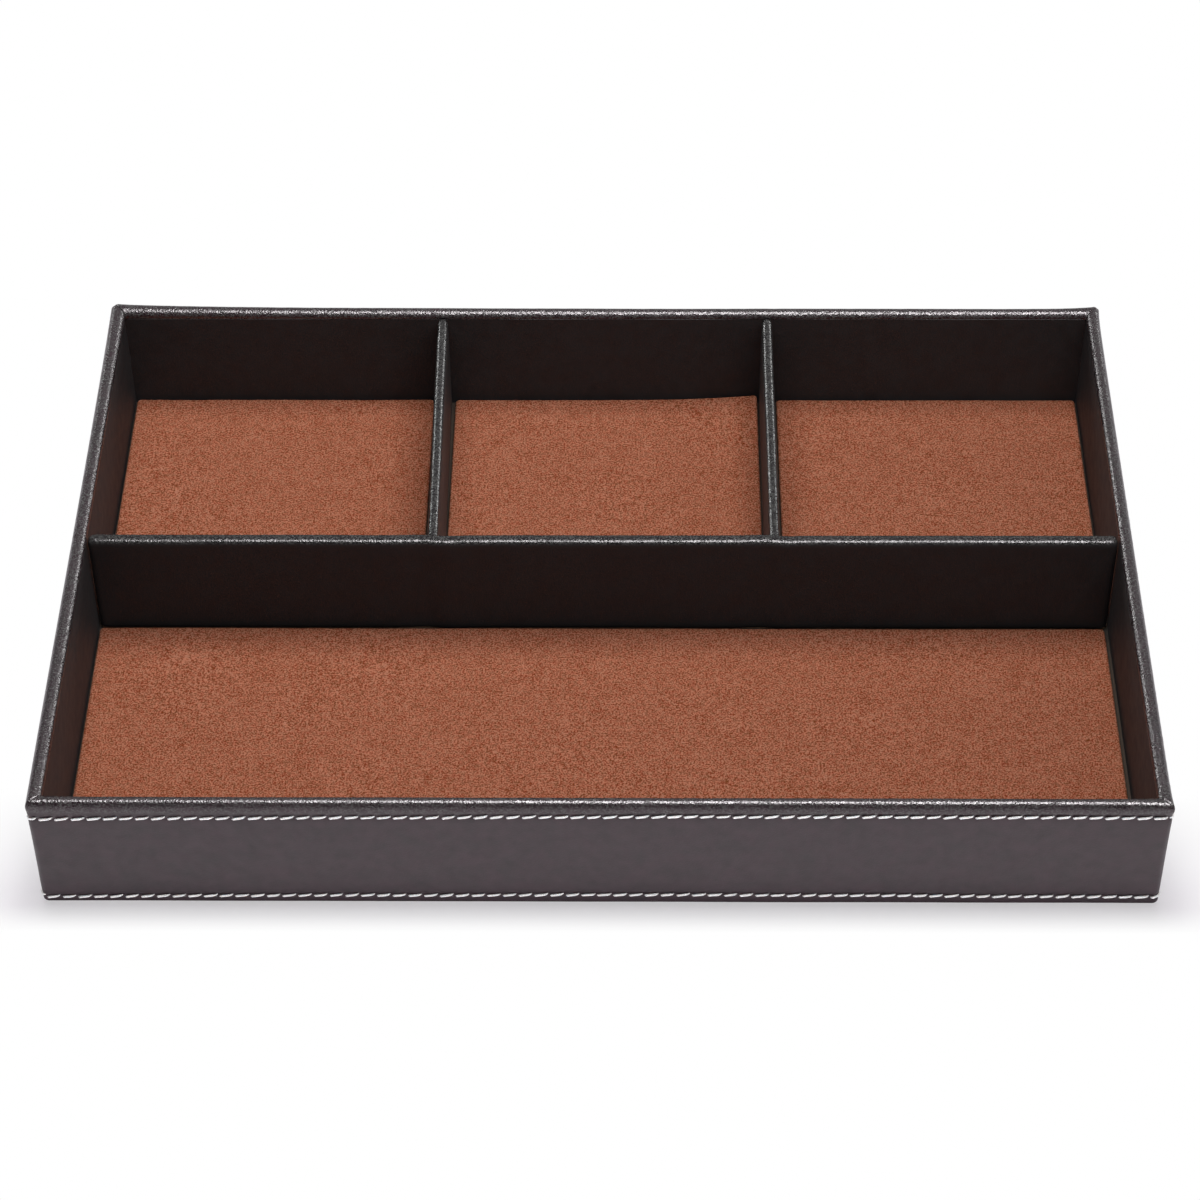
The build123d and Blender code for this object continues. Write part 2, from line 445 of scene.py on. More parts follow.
def white_thread():
    """Waxed off-white thread with a fine twist and slight soiling."""
    finish = Finish("white_thread", 0.4)
    finish.set("Roughness", 0.55)
    soil = finish.noise(7 * mm, 2)
    finish.set("Base Color", finish.mix(soil, colour(0.98, 0.975, 0.97), colour(0.94, 0.93, 0.92)))
    twist = finish.add(
        "ShaderNodeTexWave",
        {"Vector": finish.place, "Scale": 1 / (2.4 * mm), "Distortion": 1.5},
        bands_direction="DIAGONAL",
    )
    finish.bump(twist.outputs["Fac"], 0.05 * mm)
    finish.set("Sheen Weight", 0.35)
    finish.set("Subsurface Weight", 0.35)
    finish.set("Subsurface Radius", (1.0, 0.9, 0.85))
    finish.set("Subsurface Scale", 0.5 * mm)
    return finish.material


def pressed_board(name, dark, light, fleck=1.2 * mm):
    """Pressed fibre: flecks in two tones and a slightly furry face."""
    finish = Finish(name, 0.25)
    flecks = finish.noise(fleck, 4, 0.7, 1.0)
    cloud = finish.spread(finish.noise(20 * mm, 2), 0.2, 0.8, -0.15, 0.15)
    share = finish.math("ADD", finish.spread(flecks, 0.3, 0.7), cloud)
    finish.set("Base Color", finish.mix(share, dark, light))
    finish.set("Roughness", finish.spread(flecks, 0.3, 0.7, 0.75, 0.95))
    finish.bump(flecks, 0.08 * mm)
    return finish.material


def black_felt():
    """Black flocked felt with loose short fibres."""
    finish = Finish("black_felt", 0.1)
    finish.set("Roughness", 1.0)
    fibres = finish.noise(0.5 * mm, 3, 0.7, 2.0)
    share = finish.math("MULTIPLY", fibres, finish.noise(8 * mm, 3))
    finish.set("Base Color", finish.mix(share, colour(0.012, 0.011, 0.011), colour(0.055, 0.051, 0.05)))
    finish.set("Sheen Weight", 0.3)
    finish.set("Sheen Roughness", 0.6)
    finish.bump(fibres, 0.2 * mm)
    return finish.material


leather_finish = pebbled_leather()
lining_finish = smooth_leather()
suede_finish = brown_suede()
thread_finish = white_thread()
board_finish = pressed_board("fibre_board", colour(0.22, 0.14, 0.08), colour(0.42, 0.3, 0.2))


# The way round the tray


def run_and_reach(side):
    """A side's own length, and the depth of the tray across it."""
    return (tray_length, tray_depth) if side in ("front", "back") else (tray_depth, tray_length)


def turned(points, side):
    """Turn points made for the front to another side of the tray."""
    x, y, z = points[..., 0], points[..., 1], points[..., 2]
    for _ in range(sides.index(side)):
        x, y = -y, x
    return np.stack([x, y, z], -1)


def side_trail(side):
    """Length round the tray from the front left corner's middle to this side's start, and its own."""
    lengths = [run_and_reach(s)[0] - 2 * outer_corner + math.pi / 2 * outer_corner for s in sides]
    place = sides.index(side)
    return sum(lengths[:place]), lengths[place]


trail_length = sum(side_trail("left"))
stitch_count = round(trail_length / stitch_pitch)
pitch = trail_length / stitch_count


def wander(trail, seed):
    """How far a row of stitches strays up or down at a place along it."""
    turn = 2 * math.pi * np.asarray(trail) / trail_length
    chance = np.random.default_rng(seed)
    drift = sum(
        chance.uniform(0.4, 1) * np.sin(waves * turn + chance.uniform(0, 2 * math.pi))
        for waves in row_waves
    )
    places, rises = np.transpose(seam_rise[seed])
    climb = np.interp(np.asarray(trail) % trail_length / trail_length, places, rises) * mm
    return climb + row_wander * drift


# The outer leather

# Rows of points up the face of the cover, close together where it is stitched
fine_step = 0.24 * mm
coarse_step = 1.3 * mm
stitched_band = 3 * mm
lip_round = 0.15 * mm


def face_heights():
    """Heights of the rows of points up the face, from the fold at the hem to the rim's shoulder."""
    heights = [hem_bottom + leather]
    while heights[-1] < tray_height - rim_shoulder:
        from_row = min(abs(heights[-1] - height - typical_rise) for height, _, _ in rows.values())
        heights.append(heights[-1] + (fine_step if from_row < stitched_band else coarse_step))
    return heights[1:-1]


def arc(centre, across, up, start, end, count):
    """Points of an arc round a centre in the section, between two angles in degrees."""
    return [
        (centre[0] + across * math.cos(a), centre[1] + up * math.sin(a))
        for a in np.radians(np.linspace(start, end, count))
    ]


def cover_profile():
    """The cover's section: inward and upward places, outward normals, and which show."""
    half = wall / 2
    inner = half - leather
    hem_fold = (leather, hem_bottom + leather)
    outline = [(inward, hem_bottom) for inward in np.linspace(hem_width, leather, 5)[:-1]]
    outline += arc(hem_fold, leather, leather, 270, 180, 7)
    outline += [(0, height) for height in face_heights()]
    outline += arc((half, tray_height - rim_shoulder), half, rim_shoulder, 180, 99, 10)
    outline += arc((half, rim_centre), half, half, 90, 0, 11)
    outline += arc((wall - lip_round, cover_end + lip_round), lip_round, lip_round, 0, -90, 4)
    shown = len(outline)
    outline += arc((half, rim_centre), inner, inner, 0, 180, 8)
    outline += [hem_fold, (hem_width, hem_bottom + leather)]
    section = np.array(outline)
    ahead = np.roll(section, -1, 0) - np.roll(section, 1, 0)
    normal = np.stack([-ahead[:, 1], ahead[:, 0]], -1)
    normal /= np.linalg.norm(normal, axis=1)[:, None]
    return section, normal, np.arange(len(section)) < shown


def plan_corner(inward, height):
    """Radius of the cover's corner in plan, tighter where the leather is folded over the rim."""
    rising = ramp(height, tray_height / 2, rim_centre) ** 2
    outer = outer_corner + (rim_corner - outer_corner) * rising
    over_rim = outer + (rim_corner - outer) * ramp(inward, 0, wall / 2)
    return over_rim + (inner_corner - rim_corner) * ramp(inward, wall / 2, wall)


def seam_depth(trail, inward, height):
    """How deep the face is drawn in: a channel and holes along each row, and the tuck at the hem."""
    depth = hem_tuck * ramp(height, tuck_start, hem_bottom)
    for row_height, first_hole, seed in rows.values():
        off = height - row_height - wander(trail, seed)[:, None]
        along = (trail - first_hole + pitch / 2) % pitch - pitch / 2
        hole = hump(off, hole_width) * hump(along, hole_width)[:, None]
        depth = depth + channel_depth * hump(off, channel_width) + hole_depth * hole
    return depth * (inward < leather)


def rim_lift(side, points, from_mitre, inward, height):
    """How far the rim stands out: swollen and pointed corners, a bulge, and a crease at the mitres."""
    up_rim = ramp(height, rim_centre, tray_height)
    outer = ramp(inward, wall / 2, 0)
    eased = ramp(height, tray_height - rim_shoulder, tray_height)
    near_mitre = np.exp(-from_mitre / corner_point_reach)[:, None]
    lift = rim_bulge[side] * outer * np.minimum(2 * eased, 1) * (1 - near_mitre)
    for (right, back), (point, swell, swell_reach) in rim_corners.items():
        here = (np.sign(points[..., 0]) == right) & (np.sign(points[..., 1]) == back)
        swollen = up_rim * np.exp(-from_mitre / swell_reach)[:, None]
        pointed = np.minimum(2 * outer * eased, 1) * near_mitre
        lift = lift + here * (swell * swollen + point * pointed)
    crease = mitre_crease * hump(from_mitre, crease_width)
    if side in ("front", "back"):
        crease -= overlap_step * hump(from_mitre, 2 * crease_width)
    return lift - crease[:, None] * np.minimum(2 * up_rim, 1)


def cover_wear_and_sheen(points, inward, height):
    """How much wear and painted sheen each point of the cover takes: on the rim, and on the face above
    the stitches.
    """
    # Wear and painted sheen rise up the rim, and fall off at its outer edge as painted shade
    up_rim = ramp(ramp(height, rim_centre, tray_height), *rim_wear_and_sheen_rise)
    inside = np.maximum(ramp(inward, *edge_shade_run), least_on_shaded_edge)
    on_rim = up_rim * inside * wear_and_sheen_share(points, cover_wear_and_sheen_seed)
    return np.maximum(on_rim, face_wear_and_sheen * ramp(height, *face_wear_and_sheen_rise))


def cover_mesh(side):
    """One side of the cover as a closed sheet, with the wear and painted sheen of each of its points."""
    run, reach = run_and_reach(side)
    start, length = side_trail(side)
    straight = run - 2 * outer_corner

    # Columns of points: u is their place from -1 to 1 and turn how far the corner has turned them
    turns = np.linspace(mitre_turn, 0, corner_columns)
    turns = np.radians(np.insert(turns, 1, mitre_turn - seam_sliver))
    along = np.linspace(-1, 1, round(straight / pitch * columns_per_stitch))
    u = np.concatenate([-np.ones(len(turns)), along[1:-1], np.ones(len(turns))])
    turn = np.concatenate([-turns, np.zeros(len(along) - 2), turns[::-1]])
    trail = start + length / 2 + u * straight / 2 + turn * outer_corner
    from_mitre = (1 - np.abs(u)) * straight / 2 + (math.radians(mitre_turn) - np.abs(turn)) * outer_corner

    section, normal, shown = cover_profile()
    inward, height = section.T
    radius = plan_corner(inward, height)
    x = u[:, None] * (run / 2 - inward - radius) + radius * np.sin(turn)[:, None]
    y = -reach / 2 + inward + radius * (1 - np.cos(turn)[:, None])
    base = turned(np.stack([x, y, np.broadcast_to(height, x.shape)], -1), side)
    out_x = -normal[:, 0] * np.sin(turn)[:, None]
    out_y = normal[:, 0] * np.cos(turn)[:, None]
    out = turned(np.stack([out_x, out_y, np.broadcast_to(normal[:, 1], x.shape)], -1), side)

    up_rim = ramp(height, rim_centre, tray_height)
    lift = ripple(base, *face_swell) + up_rim * ripple(base, *rim_wrinkle)
    lift += rim_lift(side, base, from_mitre, inward, height) - seam_depth(trail, inward, height)
    points = base + out * (lift * shown)[..., None]

    columns, ring = x.shape
    index = np.arange(columns * ring).reshape(columns, ring)
    ahead = np.roll(index, -1, 1)
    quads = np.stack([index[:-1], index[1:], ahead[1:], ahead[:-1]], -1).reshape(-1, 4)
    faces = [*quads, index[0], index[-1][::-1]]
    wear_and_sheen = cover_wear_and_sheen(base, inward, height) * shown
    return points.reshape(-1, 3), faces, wear_and_sheen.ravel()


def make_covers():
    for side in sides:
        points, faces, wear_and_sheen = cover_mesh(side)
        cover = mesh_piece(side + "_leather_cover", points, faces, leather_finish)
        paint(cover, "rim", wear_and_sheen)
        dress(cover, "tray", "outer_leather", side + "_cover")


# Stitching

# Form of a stitch from its left end to its right, as shares: rise along the row, height, girth
stitch_rise_shares = [
    (0, 0.19), (0.06, 0.32), (0.18, 0.41), (0.3, 0.45), (0.6, 0.52), (0.84, 0.63), (0.95, 0.69), (1, 0.62)
]
stitch_height_shares = [(0, 0), (0.06, 0.7), (0.18, 1), (0.86, 1), (0.95, 0.7), (1, 0)]
stitch_girth_shares = [(0, 0.6), (0.08, 0.95), (0.35, 1), (0.7, 0.96), (0.88, 0.7), (1, 0.4)]
stitch_sink = 0.3 * mm
stitch_swing = 2.1 * mm
thread_sides = 8
stitch_segments = 12

# How much one stitch differs from the next: its tilt in radians, and its size as shares
stitch_tilt = 0.045
smallest_stitch = (0.95, 0.9, 0.92)
largest_stitch = (1.03, 1.08, 1.1)


class Tree(Nodes):
    """A geometry node tree with named inputs."""

    def __init__(self, name):
        super().__init__(bpy.data.node_groups.new(name, "GeometryNodeTree"))
        self.tree.interface.new_socket("Geometry", in_out="INPUT", socket_type="NodeSocketGeometry")
        self.tree.interface.new_socket("Geometry", in_out="OUTPUT", socket_type="NodeSocketGeometry")
        self.start = self.tree.nodes.new("NodeGroupInput")
        self.end = self.tree.nodes.new("NodeGroupOutput")

    def size(self, name, kind="Float"):
        """A named input, and its value inside the tree."""
        self.tree.interface.new_socket(name, in_out="INPUT", socket_type="NodeSocket" + kind)
        return self.start.outputs[name]

    def vector(self, x=0.0, y=0.0, z=0.0):
        return self.add("ShaderNodeCombineXYZ", {"X": x, "Y": y, "Z": z}).outputs[0]

    def curve(self, value, points):
        """A drawn curve from 0 to 1 through points."""
        node = self.add("ShaderNodeFloatCurve", {"Value": value})
        drawn = node.mapping.curves[0]
        for place, height in points[1:-1]:
            drawn.points.new(place, height)
        drawn.points[0].location = points[0]
        drawn.points[-1].location = points[-1]
        node.mapping.update()
        return node.outputs[0]

    def finish(self, geometry, material):
        """Real geometry with its material, as the last nodes."""
        real = self.add("GeometryNodeRealizeInstances", {"Geometry": geometry})
        coated = self.add("GeometryNodeSetMaterial", {"Geometry": real.outputs[0], "Material": material})
        smooth = self.add("GeometryNodeSetShadeSmooth", {"Geometry": coated.outputs[0]})
        self.tree.links.new(smooth.outputs[0], self.end.inputs[0])
        return self.tree


def stitching_tree():
    """Repeats one stitch along a path and bends each to it, so that they go round corners."""
    tree = Tree("stitching")
    count, step = tree.size("Count", "Int"), tree.size("Pitch")
    length, width = tree.size("Length"), tree.size("Width")
    height, swing = tree.size("Height"), tree.size("Swing")
    seed, thread = tree.size("Seed", "Int"), tree.size("Thread", "Material")

    line = tree.add("GeometryNodeCurvePrimitiveLine", {"End": (1, 0, 0)})
    line = tree.add("GeometryNodeResampleCurve", {"Curve": line.outputs[0], "Count": stitch_segments + 1})
    place = tree.add("GeometryNodeSplineParameter").outputs["Factor"]
    rise = tree.math("SUBTRACT", tree.curve(place, stitch_rise_shares), 0.5)
    lift = tree.math("MULTIPLY", tree.curve(place, stitch_height_shares), height)
    lift = tree.math("SUBTRACT", lift, stitch_sink)
    centred = tree.math("MULTIPLY", tree.math("SUBTRACT", place, 0.5), length)
    form = tree.vector(centred, lift, tree.math("MULTIPLY", rise, swing))
    line = tree.add("GeometryNodeSetPosition", {"Geometry": line.outputs[0], "Position": form})
    girth = tree.math("MULTIPLY", tree.curve(place, stitch_girth_shares), 0.5)
    circle = tree.add("GeometryNodeCurvePrimitiveCircle", {"Resolution": thread_sides, "Radius": width})
    strand = tree.add(
        "GeometryNodeCurveToMesh",
        {"Curve": line.outputs[0], "Profile Curve": circle.outputs[0], "Scale": girth, "Fill Caps": True},
    )

    offset = tree.vector(step)
    first = tree.vector(tree.math("MULTIPLY", step, 0.5))
    points = tree.add("GeometryNodeMeshLine", {"Count": count, "Start Location": first, "Offset": offset})
    tilt = {2: -stitch_tilt, 3: stitch_tilt, "Seed": seed}
    tilt = tree.add("FunctionNodeRandomValue", tilt, data_type="FLOAT")
    tilt = tree.add("FunctionNodeEulerToRotation", {0: tree.vector(0.0, tilt.outputs[1])})
    grow = {0: smallest_stitch, 1: largest_stitch, "Seed": seed}
    grow = tree.add("FunctionNodeRandomValue", grow, data_type="FLOAT_VECTOR")
    laid = tree.add(
        "GeometryNodeInstanceOnPoints",
        {
            "Points": points.outputs[0],
            "Instance": strand.outputs[0],
            "Rotation": tilt.outputs[0],
            "Scale": grow.outputs[0],
        },
    )
    laid = tree.add("GeometryNodeRealizeInstances", {"Geometry": laid.outputs[0]})

    spot = tree.add("ShaderNodeSeparateXYZ", {0: tree.add("GeometryNodeInputPosition").outputs[0]})
    path = {"Curves": tree.start.outputs["Geometry"], "Length": spot.outputs["X"]}
    path = tree.add("GeometryNodeSampleCurve", path, mode="LENGTH")
    outward = {0: path.outputs["Tangent"], 1: (0, 0, 1)}
    outward = tree.add("ShaderNodeVectorMath", outward, operation="CROSS_PRODUCT")
    outward = {0: outward.outputs[0], "Scale": spot.outputs["Y"]}
    outward = tree.add("ShaderNodeVectorMath", outward, operation="SCALE")
    upward = tree.vector(0.0, 0.0, spot.outputs["Z"])
    bent = tree.add("ShaderNodeVectorMath", {0: path.outputs["Position"], 1: outward.outputs[0]})
    bent = tree.add("ShaderNodeVectorMath", {0: bent.outputs[0], 1: upward})
    laid = tree.add("GeometryNodeSetPosition", {"Geometry": laid.outputs[0], "Position": bent.outputs[0]})
    return tree.finish(laid.outputs[0], thread)


def trail_point(trail):
    """A point of the tray's outer face in plan, by its length from the front left corner's middle."""
    for side in sides:
        start, length = side_trail(side)
        along = trail - start
        if along <= length:
            break
    run, reach = run_and_reach(side)
    bend = math.pi / 4 * outer_corner
    straight = run - 2 * outer_corner
    before = min(along - bend, 0)
    after = max(along - bend - straight, 0)
    turn = (before + after) / outer_corner
    u = min(max(along - bend, 0), straight) - straight / 2
    x = u + outer_corner * math.sin(turn)
    y = -reach / 2 + outer_corner * (1 - math.cos(turn))
    return turned(np.array([x, y, 0.0]), side)


def stitch_path(name, height, first_hole, seed):
    """The line that a row of stitches follows, from its first hole round to it again."""
    steps = 4 * stitch_count
    curve = bpy.data.curves.new(name, "CURVE")
    curve.dimensions = "3D"
    spline = curve.splines.new("POLY")
    spline.points.add(steps - 1)
    for number, point in enumerate(spline.points):
        trail = (first_hole + trail_length * number / steps) % trail_length
        spot = trail_point(trail)
        point.co = (spot[0], spot[1], height + float(wander(trail, seed)), 1)
    spline.use_cyclic_u = True
    path = bpy.data.objects.new(name, curve)
    bpy.context.scene.collection.objects.link(path)
    return path


def make_stitching():
    tree = stitching_tree()
    for name, (height, first_hole, seed) in rows.items():
        path = stitch_path(name + "_path", height, first_hole, seed)
        modifier = path.modifiers.new("stitching", "NODES")
        modifier.node_group = tree
        sizes = {
            "Count": stitch_count,
            "Pitch": pitch,
            "Length": stitch_length,
            "Width": thread_width,
            "Height": thread_height,
            "Swing": stitch_swing,
            "Seed": seed,
            "Thread": thread_finish,
        }
        for item in tree.interface.items_tree:
            if item.in_out == "INPUT" and item.name in sizes:
                modifier[item.identifier] = sizes[item.name]
        seen = path.evaluated_get(bpy.context.evaluated_depsgraph_get())
        mesh = bpy.data.meshes.new_from_object(seen)
        bpy.data.objects.remove(path)
        mesh.name = name
        row = bpy.data.objects.new(name, mesh)
        bpy.context.scene.collection.objects.link(row)
        dress(row, "tray", "thread", *[side + "_" + name for side in sides])


# Linings and dividers

# Small swells: height, wavelength and seed. The dividers' wrinkles start clear of the floor
lining_swell = (0.06 * mm, 40 * mm, 30)
divider_swell = (0.07 * mm, 60 * mm, 41)
divider_wrinkle = (0.025 * mm, 6 * mm, 43)
clear_of_floor = 2 * mm

# A divider's edges are rounded by this share of half its thickness
divider_rounding = 0.97
divider_corner = 2.2 * mm

# A divider takes wear and painted sheen from so far below its top up
divider_wear_and_sheen_start = 1.3 * mm
divider_wear_and_sheen_full = 0.5 * mm

# The leather is doubled behind the top of the long divider
fold_height = 9 * mm
fold_thickness = 0.9 * mm

# How far the front end of each short divider stands to the right of its back end
divider_lean = {"left": 1.5 * mm, "right": -0.4 * mm}

# The short dividers run into the long one, which sways where they meet it
divider_run_in = 1.9 * mm
sway = 0.3 * mm
sway_reach = 4.5 * mm


def make_linings():
    for number, side in enumerate(sides):
        low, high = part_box(side + "_lining")
        high.z = cover_end - lining_below_cover
        thin = 1 if side in ("front", "back") else 0
        points, faces = soft_slab(
            low, high, thin, corner=0.2 * mm, edge=0.15 * mm, lower_edge=0.15 * mm, step=2.5 * mm
        )
        points[:, thin] += ripple(points, *lining_swell, number)
        lining = mesh_piece(side + "_wall_lining", points, faces, lining_finish)
        paint(lining, "rim", np.zeros(len(points)))
        dress(lining, "tray", "inner_leather", side + "_lining")


def lean(points, name):
    """Shift a short divider's points more and more towards its front end."""
    low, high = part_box(name + "_divider_wrap")
    points[:, 0] += divider_lean[name] * (high.y - points[:, 1]) / (high.y - low.y)


def fold_and_sway(points, top, half):
    """Double the long divider's leather behind its top, and sway it where the short ones meet it."""
    fold = ramp(points[:, 2], top - fold_height, top) * ramp(points[:, 1], -half / 2, half / 2)
    points[:, 1] += fold_thickness * fold
    for name, shift in divider_lean.items():
        meet = middle(name + "_divider_wrap", 0) + shift
        past = (points[:, 0] - meet) / sway_reach
        points[:, 1] -= sway * past * np.exp(0.5 - 0.5 * past**2)


def make_core(name):
    """The board inside a short divider, made again so that it leans with its leather."""
    low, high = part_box(name + "_divider_board")
    points, faces = soft_slab(
        low, high, 0, corner=0.5 * mm, edge=0.2 * mm, lower_edge=0.2 * mm, step=4 * mm
    )
    lean(points, name)
    core = mesh_piece(name + "_divider_core", points, faces, board_finish)
    dress(core, "tray", "board", name + "_divider_board")


def make_dividers():
    for name in ("long", "left", "right"):
        low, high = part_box(name + "_divider_wrap")
        thin = 1 if name == "long" else 0
        half = (high[thin] - low[thin]) / 2
        edge = divider_rounding * half
        if name != "long":
            low.y -= divider_run_in
        points, faces = soft_slab(
            low, high, thin, corner=divider_corner, edge=edge, lower_edge=edge, step=2 * mm
        )
        # Wear and painted sheen only near the top, where the highlight falls
        near_top = ramp(points[:, 2], high.z - divider_wear_and_sheen_start, high.z - divider_wear_and_sheen_full)
        wear_and_sheen = near_top * wear_and_sheen_share(points, divider_wear_and_sheen_seed)
        points[:, thin] += ripple(points, *divider_swell)
        points[:, 2] += ripple(points, *divider_wrinkle) * (points[:, 2] > floor_top + clear_of_floor)
        if name == "long":
            fold_and_sway(points, high.z, half)
        else:
            lean(points, name)
            make_core(name)
        wrap = mesh_piece(name + "_divider_leather", points, faces, lining_finish)
        paint(wrap, "rim", wear_and_sheen)
        dress(wrap, "tray", "inner_leather", name + "_divider_wrap")


# Suede pads

pads = ("front", "rear_left", "rear_middle", "rear_right")
pad_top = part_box("front_pad_suede")[1].z

# The back right corner of the rear middle pad curls up
curl_rise = 2.3 * mm
curl_run = 32.0 * mm

# Small swells of a pad: height, wavelength and seed
pad_swell = (0.12 * mm, 60 * mm, 50)
pad_wrinkle = (0.04 * mm, 12 * mm, 60)


def curl(points, corner):
    """Lift the corner of a pad along an arc."""
    radius = (curl_run**2 + curl_rise**2) / (2 * curl_rise)
    towards = np.array([1, 1]) / math.sqrt(2)
    past = np.maximum((points[:, :2] - corner) @ towards + curl_run, 0)
    return radius - np.sqrt(radius**2 - past**2)


def make_pads():
    for number, name in enumerate(pads):
        low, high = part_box(name + "_pad_suede")
        high.z = pad_top
        points, faces = soft_slab(
            low, high, 2, corner=1.3 * mm, edge=0.8 * mm, lower_edge=0.3 * mm, step=1.25 * mm
        )
        swell = ripple(points, *pad_swell, number) + ripple(points, *pad_wrinkle, number)
        points[:, 2] += ramp(points[:, 2], low.z, pad_top) * swell
        if name == "rear_middle":
            points[:, 2] += curl(points, (high.x, high.y))
        pad = mesh_piece(name + "_suede_pad", points, faces, suede_finish)
        dress(pad, name + "_pad", "suede", name + "_pad_suede")


# Boards, cards and felt that keep their own shape


def coat(finish, *nodes):
    for node in nodes:
        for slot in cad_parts[node].material_slots:
            slot.material = finish


def coat_boards():
    lined = pressed_board("lined_base_board", colour(0.035, 0.022, 0.015), colour(0.06, 0.04, 0.028))
    card = pressed_board("grey_brown_card", colour(0.3, 0.25, 0.19), colour(0.48, 0.42, 0.34), 0.7 * mm)
    coat(lined, "base_board")
    coat(board_finish, *[side + "_wall_board" for side in sides])
    coat(board_finish, "long_divider_board")
    coat(card, "packing_card", *[name + "_pad_card" for name in pads])
    coat(black_felt(), "base_felt")


# The setting: floor, room, lamps and camera

floor_reach = 3.0

# Reflections show the floor from a little beyond the tray, and less of it further to the sides
foot_run = (1 * mm, 6.5 * mm)
aside_run = (30 * mm, 80 * mm)
aside_level = 0.35

# Round the tray's front the floor shows its own shading: before the front face, behind and beside it
shade_level = 0.38
shade_before = (front_low.y - 11 * mm, front_low.y - 1 * mm)
shade_behind = (front_low.y + 45 * mm, front_low.y + 5 * mm)
shade_beside = (35 * mm, 5 * mm)

# Light of the room: on matt surfaces, and as reflections show it at the back and in front
ambient_level = 0.27
back_level = 0.56
room_level = 0.15

# Where reflections show the dim room: shares of a direction that point up, back and aside
room_above = (0.0, 0.16)
room_in_front = (0.3, 0.0)
room_aside = (0.3, 0.55)
room_low = (0.42, 0.2)

# The room's light grows from the left to the right
left_to_right = (-0.7, 0.7)
left_and_right_share = (0.65, 1.15)

# Lamps that only reflections show are slightly green, against the reddish sheen of the leather
glint_colour = (0.93, 1.0, 0.96)


def pale_floor():
    """White where the camera or a reflection sees it, but for the tray's foot and its shadow."""
    finish = Finish("pale_floor", 0.0)
    finish.set("Roughness", 0.9)
    finish.set("Base Color", colour(0.93, 0.87, 0.95))
    rays = finish.add("ShaderNodeLightPath").outputs
    spot = finish.add("ShaderNodeSeparateXYZ", {0: finish.place}).outputs
    beyond_side = finish.math("SUBTRACT", finish.math("ABSOLUTE", spot["X"]), tray_length / 2)
    beyond_end = finish.math("SUBTRACT", finish.math("ABSOLUTE", spot["Y"]), tray_depth / 2)

    beyond_foot = finish.spread(finish.math("MAXIMUM", beyond_side, beyond_end), *foot_run)
    not_aside = finish.spread(beyond_side, *aside_run, 1.0, aside_level)
    mirrored = finish.math("MULTIPLY", beyond_foot, not_aside)
    mirrored = finish.math("MULTIPLY", rays["Is Glossy Ray"], mirrored)
    share = finish.math("ADD", rays["Is Camera Ray"], mirrored)
    share = finish.math("ADD", share, rays["Is Transmission Ray"])

    before = finish.spread(spot["Y"], *shade_before)
    behind = finish.spread(spot["Y"], *shade_behind)
    beside = finish.spread(beyond_side, *shade_beside)
    shaded = finish.math("MULTIPLY", finish.math("MULTIPLY", before, behind), beside)
    share = finish.math("MULTIPLY", share, finish.spread(shaded, 0, 1, 1.0, shade_level))

    white = finish.add("ShaderNodeEmission", {"Color": colour(1, 1, 1), "Strength": 1.0}).outputs[0]
    both = finish.add("ShaderNodeMixShader", {0: share, 1: finish.surface.outputs[0], 2: white})
    finish.feed(finish.tree.nodes["Material Output"].inputs["Surface"], both.outputs[0])
    return finish.material


def make_floor():
    mesh = bpy.data.meshes.new("floor")
    corners = [(-1, -1), (1, -1), (1, 1), (-1, 1)]
    mesh.from_pydata([(floor_reach * x, floor_reach * y, 0) for x, y in corners], [], [(0, 1, 2, 3)])
    mesh.materials.append(pale_floor())
    floor = bpy.data.objects.new("floor", mesh)
    bpy.context.scene.collection.objects.link(floor)


def make_world():
    """A white backdrop, a dimmer room where reflections show it, and soft light on everything."""
    world = bpy.data.worlds.new("studio")
    bpy.context.scene.world = world
    world.use_nodes = True
    nodes = Nodes(world.node_tree)
    rays = nodes.add("ShaderNodeLightPath").outputs
    way = nodes.add("ShaderNodeTexCoord").outputs["Generated"]
    way = nodes.add("ShaderNodeSeparateXYZ", {0: way}).outputs

    above = nodes.spread(way["Z"], *room_above)
    in_front = nodes.spread(way["Y"], *room_in_front)
    aside = nodes.spread(nodes.math("ABSOLUTE", way["X"]), *room_aside)
    low_aside = nodes.math("MULTIPLY", aside, nodes.spread(way["Z"], *room_low))
    dim = nodes.math("MULTIPLY", above, nodes.math("MAXIMUM", in_front, low_aside))

    mirrored = nodes.spread(dim, 0, 1, back_level, room_level)
    level = nodes.spread(rays["Is Glossy Ray"], 0, 1, ambient_level, mirrored)
    from_right = nodes.spread(way["X"], *left_to_right, *left_and_right_share)
    level = nodes.math("MULTIPLY", level, from_right)
    level = nodes.math("MAXIMUM", level, rays["Is Camera Ray"])
    level = nodes.math("MAXIMUM", level, rays["Is Transmission Ray"])
    background = world.node_tree.nodes["Background"]
    nodes.feed(background.inputs["Color"], colour(1, 1, 1))
    nodes.feed(background.inputs["Strength"], level)


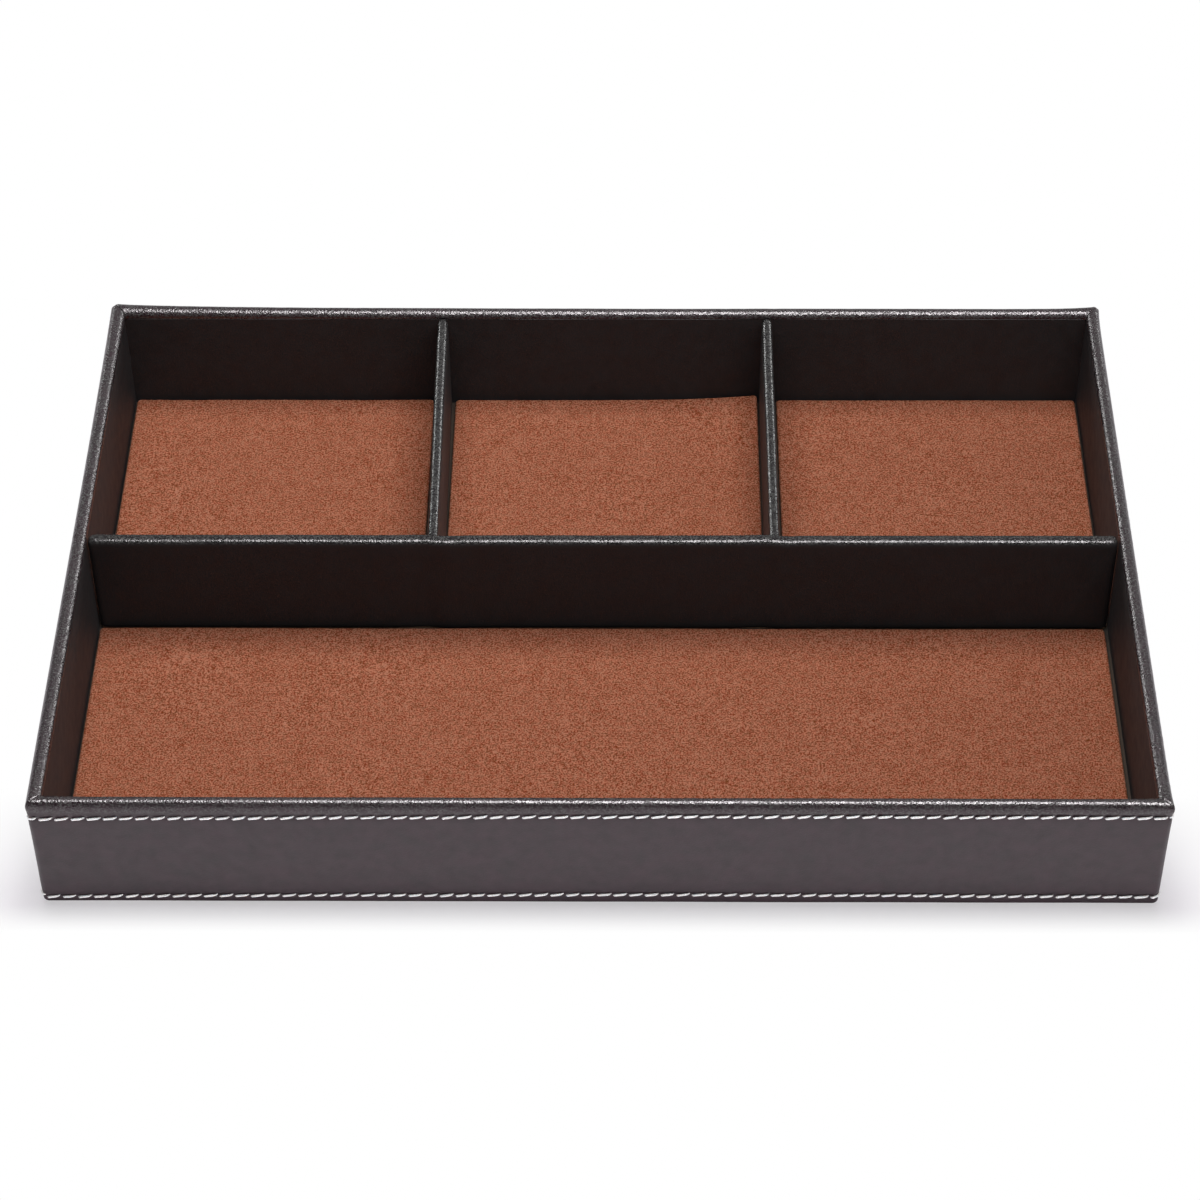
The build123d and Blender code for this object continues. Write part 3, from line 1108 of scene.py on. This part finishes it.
def softbox(name, place, aim, size, watts, in_diffuse=True, in_gloss=True, beam=180):
    """A rectangular lamp at place, turned towards aim, that the camera never sees."""
    lamp = bpy.data.lights.new(name, "AREA")
    lamp.shape = "RECTANGLE"
    lamp.size, lamp.size_y = size
    lamp.energy = watts
    lamp.spread = math.radians(beam)
    if not in_diffuse:
        lamp.color = glint_colour
    light = bpy.data.objects.new(name, lamp)
    bpy.context.scene.collection.objects.link(light)
    light.visible_camera = False
    light.visible_diffuse = in_diffuse
    light.visible_glossy = in_gloss
    light.location = place
    away = np.array(place) - np.array(aim)
    tip = math.atan2(-away[1], away[2])
    swing = math.atan2(away[0], math.hypot(away[1], away[2]))
    light.rotation_mode = "YXZ"
    light.rotation_euler = (tip, swing, 0)


def make_lamps():
    """Two lamps for matt surfaces, and three that only reflections show, for the rims' highlights."""
    softbox(
        "overhead", (-0.04, 0.14, 0.75), aim=(-0.46, 0, 0), size=(0.6, 0.36), watts=5.65, in_gloss=False
    )
    softbox(
        "overhead_glint",
        (0.12, -0.13, 0.63),
        aim=(0.12, -0.13, 0),
        size=(0.68, 0.22),
        watts=11.2,
        in_diffuse=False,
    )
    for name, side, watts in (("left_rim_glint", -1, 0.08), ("right_rim_glint", 1, 0.085)):
        softbox(
            name,
            (-0.5 * side, 0.68, 0.27),
            aim=(0.17 * side, 0, 0.04),
            size=(0.3, 0.3),
            watts=watts,
            in_diffuse=False,
            beam=24,
        )
    softbox(
        "front_fill", (0, -1.1, 0.28), aim=(0, -0.1, 0.02), size=(1.2, 0.5), watts=7.1, in_gloss=False
    )


# Camera fitted to the corners of the tray in the photograph: its angles are in degrees
camera_place = (11.11 * mm, -758.6 * mm, 772.56 * mm)
camera_lens = 98.516
camera_pitch = 44.91
camera_yaw = 0.9
camera_roll = -0.55


def make_camera():
    lens = bpy.data.cameras.new("camera")
    lens.lens = camera_lens
    lens.clip_start, lens.clip_end = 0.05, 20
    camera = bpy.data.objects.new("camera", lens)
    bpy.context.scene.collection.objects.link(camera)
    turn = Matrix.Rotation(math.radians(camera_yaw), 4, "Z")
    tip = Matrix.Rotation(math.radians(90 - camera_pitch), 4, "X")
    roll = Matrix.Rotation(math.radians(camera_roll), 4, "Z")
    camera.matrix_world = Matrix.Translation(camera_place) @ turn @ tip @ roll
    bpy.context.scene.camera = camera


make_camera()
make_covers()
make_stitching()
make_linings()
make_dividers()
make_pads()
coat_boards()
make_floor()
make_world()
make_lamps()
bpy.context.scene.view_settings.view_transform = "Standard"
